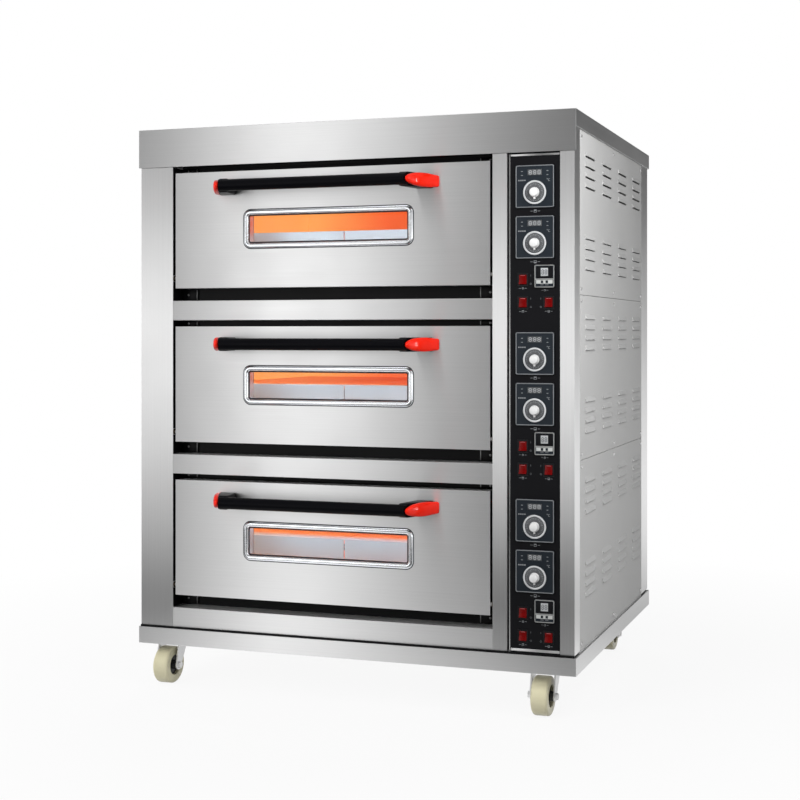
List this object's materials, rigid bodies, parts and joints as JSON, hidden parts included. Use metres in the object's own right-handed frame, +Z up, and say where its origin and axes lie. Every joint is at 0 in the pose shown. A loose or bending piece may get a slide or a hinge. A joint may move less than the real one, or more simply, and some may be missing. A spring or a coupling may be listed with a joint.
{
  "type": "deck oven",
  "caption": "Free-standing electric bakery deck oven in brushed stainless steel, with stacked drop-down glazed doors, a side control column and swivel castors.",
  "frame": {"origin": "on the floor under the middle of the whole footprint, handles and cable gland included", "axes": "+X to the oven's right as seen from the front, +Y to its back, +Z up"},
  "size_m": [1.235, 1.0774, 1.526],
  "materials": {
    "stainless": "satin",
    "stainless_sheet": "satin",
    "door_stainless": "satin",
    "trim_chrome": "polished",
    "zinc_plate": "satin",
    "black_enamel": "satin",
    "bronze": "satin",
    "black_fascia": "satin",
    "instrument_black": "satin",
    "switch_black": "satin",
    "chamber_steel": "matte",
    "mineral_wool": "matte",
    "hearth_iron": "matte",
    "rod_steel": "matte",
    "lamp_glass": "gloss",
    "switchgear_grey": "matte",
    "gland_nylon": "matte",
    "window_glass": "gloss",
    "handle_black": "satin",
    "handle_red": "gloss",
    "knob_white": "gloss",
    "switch_red": "gloss",
    "castor_nylon": "satin"
  },
  "bodies": {
    "oven_body": {"base_frame": "stainless", "castor_plates": "zinc_plate", "corner_posts": "stainless", "top_cover": "stainless", "side_panels": "stainless_sheet", "rear_panels": "stainless_sheet", "front_rails": "stainless", "door_frames": "black_enamel", "hinge_bushes": "bronze", "control_fascia": "black_fascia", "panel_instruments": "instrument_black", "switch_housings": "switch_black", "chamber_liners": "chamber_steel", "insulation": "mineral_wool", "hearth_plates": "hearth_iron", "heating_elements": "rod_steel", "lamps": "lamp_glass", "switchgear": "switchgear_grey", "cable_gland": "gland_nylon"},
    "bottom_door": {"bottom_door_skin": "door_stainless", "bottom_door_liner": "stainless_sheet", "bottom_door_trim": "trim_chrome", "bottom_door_glass": "window_glass", "bottom_door_handle": "handle_black", "bottom_handle_ends": "handle_red"},
    "bottom_upper_knob_turn": {"bottom_upper_knob": "knob_white"},
    "bottom_lower_knob_turn": {"bottom_lower_knob": "knob_white"},
    "bottom_lamp_switch_rocker": {"bottom_lamp_switch": "switch_red"},
    "bottom_upper_heat_switch_rocker": {"bottom_upper_heat_switch": "switch_red"},
    "bottom_lower_heat_switch_rocker": {"bottom_lower_heat_switch": "switch_red"},
    "middle_door": {"middle_door_skin": "door_stainless", "middle_door_liner": "stainless_sheet", "middle_door_trim": "trim_chrome", "middle_door_glass": "window_glass", "middle_door_handle": "handle_black", "middle_handle_ends": "handle_red"},
    "middle_upper_knob_turn": {"middle_upper_knob": "knob_white"},
    "middle_lower_knob_turn": {"middle_lower_knob": "knob_white"},
    "middle_lamp_switch_rocker": {"middle_lamp_switch": "switch_red"},
    "middle_upper_heat_switch_rocker": {"middle_upper_heat_switch": "switch_red"},
    "middle_lower_heat_switch_rocker": {"middle_lower_heat_switch": "switch_red"},
    "top_door": {"top_door_skin": "door_stainless", "top_door_liner": "stainless_sheet", "top_door_trim": "trim_chrome", "top_door_glass": "window_glass", "top_door_handle": "handle_black", "top_handle_ends": "handle_red"},
    "top_upper_knob_turn": {"top_upper_knob": "knob_white"},
    "top_lower_knob_turn": {"top_lower_knob": "knob_white"},
    "top_lamp_switch_rocker": {"top_lamp_switch": "switch_red"},
    "top_upper_heat_switch_rocker": {"top_upper_heat_switch": "switch_red"},
    "top_lower_heat_switch_rocker": {"top_lower_heat_switch": "switch_red"},
    "front_left_fork": {"front_left_castor_fork": "zinc_plate"},
    "front_left_wheel": {"front_left_castor_wheel": "castor_nylon"},
    "front_right_fork": {"front_right_castor_fork": "zinc_plate"},
    "front_right_wheel": {"front_right_castor_wheel": "castor_nylon"},
    "rear_left_fork": {"rear_left_castor_fork": "zinc_plate"},
    "rear_left_wheel": {"rear_left_castor_wheel": "castor_nylon"},
    "rear_right_fork": {"rear_right_castor_fork": "zinc_plate"},
    "rear_right_wheel": {"rear_right_castor_wheel": "castor_nylon"}
  },
  "joints": [
    {"name": "bottom_door_hinge", "type": "hinge", "parent": "oven_body", "child": "bottom_door", "pos_m": [-0.0575, -0.43125, 0.282], "axis": [1, 0, 0], "range_deg": [0, 90]},
    {"name": "bottom_upper_knob_spindle", "type": "hinge", "parent": "oven_body", "child": "bottom_upper_knob_turn", "pos_m": [0.511, -0.44525, 0.485], "axis": [0, 1, 0], "range_deg": [0, 270]},
    {"name": "bottom_lower_knob_spindle", "type": "hinge", "parent": "oven_body", "child": "bottom_lower_knob_turn", "pos_m": [0.511, -0.44525, 0.358], "axis": [0, 1, 0], "range_deg": [0, 270]},
    {"name": "bottom_lamp_switch_pivot", "type": "hinge", "parent": "oven_body", "child": "bottom_lamp_switch_rocker", "pos_m": [0.479, -0.43925, 0.267], "axis": [1, 0, 0], "range_deg": [0, 20]},
    {"name": "bottom_upper_heat_switch_pivot", "type": "hinge", "parent": "oven_body", "child": "bottom_upper_heat_switch_rocker", "pos_m": [0.479, -0.43925, 0.209], "axis": [1, 0, 0], "range_deg": [0, 20]},
    {"name": "bottom_lower_heat_switch_pivot", "type": "hinge", "parent": "oven_body", "child": "bottom_lower_heat_switch_rocker", "pos_m": [0.546, -0.43925, 0.209], "axis": [1, 0, 0], "range_deg": [0, 20]},
    {"name": "middle_door_hinge", "type": "hinge", "parent": "oven_body", "child": "middle_door", "pos_m": [-0.0575, -0.43125, 0.7], "axis": [1, 0, 0], "range_deg": [0, 90]},
    {"name": "middle_upper_knob_spindle", "type": "hinge", "parent": "oven_body", "child": "middle_upper_knob_turn", "pos_m": [0.511, -0.44525, 0.903], "axis": [0, 1, 0], "range_deg": [0, 270]},
    {"name": "middle_lower_knob_spindle", "type": "hinge", "parent": "oven_body", "child": "middle_lower_knob_turn", "pos_m": [0.511, -0.44525, 0.776], "axis": [0, 1, 0], "range_deg": [0, 270]},
    {"name": "middle_lamp_switch_pivot", "type": "hinge", "parent": "oven_body", "child": "middle_lamp_switch_rocker", "pos_m": [0.479, -0.43925, 0.685], "axis": [1, 0, 0], "range_deg": [0, 20]},
    {"name": "middle_upper_heat_switch_pivot", "type": "hinge", "parent": "oven_body", "child": "middle_upper_heat_switch_rocker", "pos_m": [0.479, -0.43925, 0.627], "axis": [1, 0, 0], "range_deg": [0, 20]},
    {"name": "middle_lower_heat_switch_pivot", "type": "hinge", "parent": "oven_body", "child": "middle_lower_heat_switch_rocker", "pos_m": [0.546, -0.43925, 0.627], "axis": [1, 0, 0], "range_deg": [0, 20]},
    {"name": "top_door_hinge", "type": "hinge", "parent": "oven_body", "child": "top_door", "pos_m": [-0.0575, -0.43125, 1.118], "axis": [1, 0, 0], "range_deg": [0, 90]},
    {"name": "top_upper_knob_spindle", "type": "hinge", "parent": "oven_body", "child": "top_upper_knob_turn", "pos_m": [0.511, -0.44525, 1.321], "axis": [0, 1, 0], "range_deg": [0, 270]},
    {"name": "top_lower_knob_spindle", "type": "hinge", "parent": "oven_body", "child": "top_lower_knob_turn", "pos_m": [0.511, -0.44525, 1.194], "axis": [0, 1, 0], "range_deg": [0, 270]},
    {"name": "top_lamp_switch_pivot", "type": "hinge", "parent": "oven_body", "child": "top_lamp_switch_rocker", "pos_m": [0.479, -0.43925, 1.103], "axis": [1, 0, 0], "range_deg": [0, 20]},
    {"name": "top_upper_heat_switch_pivot", "type": "hinge", "parent": "oven_body", "child": "top_upper_heat_switch_rocker", "pos_m": [0.479, -0.43925, 1.045], "axis": [1, 0, 0], "range_deg": [0, 20]},
    {"name": "top_lower_heat_switch_pivot", "type": "hinge", "parent": "oven_body", "child": "top_lower_heat_switch_rocker", "pos_m": [0.546, -0.43925, 1.045], "axis": [1, 0, 0], "range_deg": [0, 20]},
    {"name": "front_left_swivel", "type": "hinge", "parent": "oven_body", "child": "front_left_fork", "pos_m": [-0.5595, -0.34925, 0.1], "axis": [0, 0, 1], "continuous": true},
    {"name": "front_left_axle", "type": "hinge", "parent": "front_left_fork", "child": "front_left_wheel", "pos_m": [-0.5595, -0.38725, 0.05], "axis": [1, 0, 0], "continuous": true},
    {"name": "front_right_swivel", "type": "hinge", "parent": "oven_body", "child": "front_right_fork", "pos_m": [0.5175, -0.34925, 0.1], "axis": [0, 0, 1], "continuous": true},
    {"name": "front_right_axle", "type": "hinge", "parent": "front_right_fork", "child": "front_right_wheel", "pos_m": [0.5175, -0.38725, 0.05], "axis": [1, 0, 0], "continuous": true},
    {"name": "rear_left_swivel", "type": "hinge", "parent": "oven_body", "child": "rear_left_fork", "pos_m": [-0.5595, 0.41675, 0.1], "axis": [0, 0, 1], "continuous": true},
    {"name": "rear_left_axle", "type": "hinge", "parent": "rear_left_fork", "child": "rear_left_wheel", "pos_m": [-0.5595, 0.37875, 0.05], "axis": [1, 0, 0], "continuous": true},
    {"name": "rear_right_swivel", "type": "hinge", "parent": "oven_body", "child": "rear_right_fork", "pos_m": [0.5175, 0.41675, 0.1], "axis": [0, 0, 1], "continuous": true},
    {"name": "rear_right_axle", "type": "hinge", "parent": "rear_right_fork", "child": "rear_right_wheel", "pos_m": [0.5175, 0.37875, 0.05], "axis": [1, 0, 0], "continuous": true}
  ]
}
